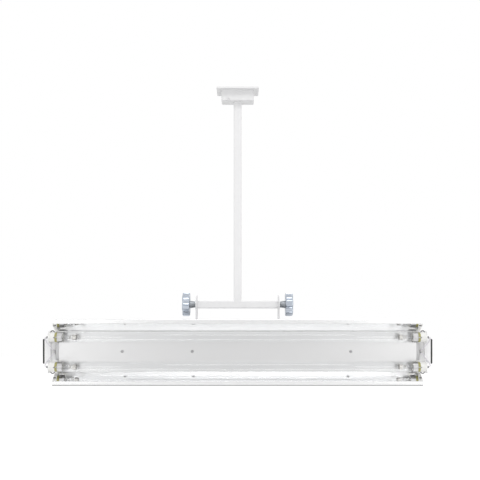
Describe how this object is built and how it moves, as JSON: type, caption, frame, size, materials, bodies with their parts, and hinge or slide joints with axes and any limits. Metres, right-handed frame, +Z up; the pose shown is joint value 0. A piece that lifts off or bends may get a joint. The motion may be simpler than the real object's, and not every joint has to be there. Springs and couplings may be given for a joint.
{
  "type": "germicidal light fixture",
  "caption": "Ceiling-hung germicidal light fixture: square drop stem, yoke with clamping star knobs, and an open reflector trough that holds tubular ultraviolet lamps.",
  "frame": {"origin": "centre of the ceiling plate's top face", "axes": "+Z up into the ceiling, X along the lamps, the open face of the trough towards -Y"},
  "size_m": [0.98, 0.1124, 0.7463],
  "materials": {
    "white_enamel": "satin white powder coat",
    "specular_aluminium": "bright rolled reflector sheet",
    "satin_aluminium": "satin anodised",
    "blued_metal": "turned and polished, bluish",
    "zinc_steel": "zinc plated",
    "clear_glass": "clear quartz-type glass",
    "inner_glass": "pressed glass stem",
    "lamp_cap_metal": "plain drawn",
    "electrode_metal": "nickel",
    "white_plastic": "moulded",
    "olive_plastic": "moulded",
    "black_plastic": "moulded",
    "grey_plastic": "moulded",
    "black_rubber": "matt",
    "lead_sleeves_grey": "wire insulation",
    "lead_sleeves_black": "wire insulation",
    "board_green": "coated board"
  },
  "bodies": {
    "ceiling_bracket": {"ceiling_plate": "white_enamel", "canopy_box": "white_enamel", "canopy_screws": "white_enamel", "drop_stem": "white_enamel", "crossbar": "white_enamel", "crossbar_plugs": "zinc_steel"},
    "upper_lamp": {"upper_lamp_tube": "clear_glass", "upper_lamp_caps": "lamp_cap_metal", "upper_lamp_stems": "inner_glass", "upper_lamp_electrodes": "electrode_metal", "upper_lamp_rotors": "white_plastic"},
    "lower_lamp": {"lower_lamp_tube": "clear_glass", "lower_lamp_caps": "lamp_cap_metal", "lower_lamp_stems": "inner_glass", "lower_lamp_electrodes": "electrode_metal", "lower_lamp_rotors": "white_plastic"},
    "left_clamp_washer": {"left_washer": "zinc_steel"},
    "right_clamp_washer": {"right_washer": "zinc_steel"},
    "left_clamp_knob": {"left_stud": "zinc_steel", "left_knob": "blued_metal"},
    "right_clamp_knob": {"right_stud": "zinc_steel", "right_knob": "blued_metal"},
    "fixture": {"ear_screws": "zinc_steel", "ear_nuts": "zinc_steel", "housing_shell": "white_enamel", "reflector_back": "satin_aluminium", "upper_reflector": "specular_aluminium", "lower_reflector": "specular_aluminium", "reflector_screws": "zinc_steel", "bridge_straps": "zinc_steel", "bracket_screws": "zinc_steel", "holder_screws": "zinc_steel", "lead_grommets": "black_rubber", "lamp_leads": "lead_sleeves_grey", "shunt_leads": "lead_sleeves_black", "ballast_case": "white_enamel", "ballast_board": "board_green", "ballast_screws": "zinc_steel", "terminal_block": "white_plastic", "earth_stud": "zinc_steel", "gland_body": "grey_plastic", "gland_seal": "black_rubber", "gland_cap": "grey_plastic", "gland_lock_nut": "grey_plastic", "left_ear": "white_enamel", "left_end_cap": "black_plastic", "left_lamp_bracket": "white_enamel", "left_lead_boots": "black_rubber", "upper_left_holder": "white_plastic", "upper_left_collar": "olive_plastic", "lower_left_holder": "white_plastic", "lower_left_collar": "olive_plastic", "right_ear": "white_enamel", "right_end_cap": "black_plastic", "right_lamp_bracket": "white_enamel", "right_lead_boots": "black_rubber", "upper_right_holder": "white_plastic", "upper_right_collar": "olive_plastic", "lower_right_holder": "white_plastic", "lower_right_collar": "olive_plastic"}
  },
  "joints": [
    {"name": "tilt", "type": "hinge", "parent": "ceiling_bracket", "child": "fixture", "pos_m": [0, 0, -0.5465], "axis": [1, 0, 0], "range_deg": [-90, 90]},
    {"name": "left_clamp_travel", "type": "slide", "parent": "ceiling_bracket", "child": "left_clamp_washer", "axis": [-1, 0, 0], "range_m": [0, 0.003]},
    {"name": "left_knob_turn", "type": "hinge", "parent": "left_clamp_washer", "child": "left_clamp_knob", "pos_m": [-0.12, 0, -0.5465], "axis": [-1, 0, 0], "range_deg": [0, 720]},
    {"name": "right_clamp_travel", "type": "slide", "parent": "ceiling_bracket", "child": "right_clamp_washer", "axis": [1, 0, 0], "range_m": [0, 0.003]},
    {"name": "right_knob_turn", "type": "hinge", "parent": "right_clamp_washer", "child": "right_clamp_knob", "pos_m": [0.12, 0, -0.5465], "axis": [1, 0, 0], "range_deg": [0, 720]},
    {"name": "upper_lamp_turn", "type": "hinge", "parent": "fixture", "child": "upper_lamp", "pos_m": [0, -0.049, -0.627], "axis": [1, 0, 0], "range_deg": [0, 90]},
    {"name": "lower_lamp_turn", "type": "hinge", "parent": "fixture", "child": "lower_lamp", "pos_m": [0, -0.049, -0.701], "axis": [1, 0, 0], "range_deg": [0, 90]}
  ],
  "couplings": [
    {"joint": "left_clamp_travel", "follows": "left_knob_turn", "m_per_rad": 0.00023873},
    {"joint": "right_clamp_travel", "follows": "right_knob_turn", "m_per_rad": 0.00023873}
  ]
}
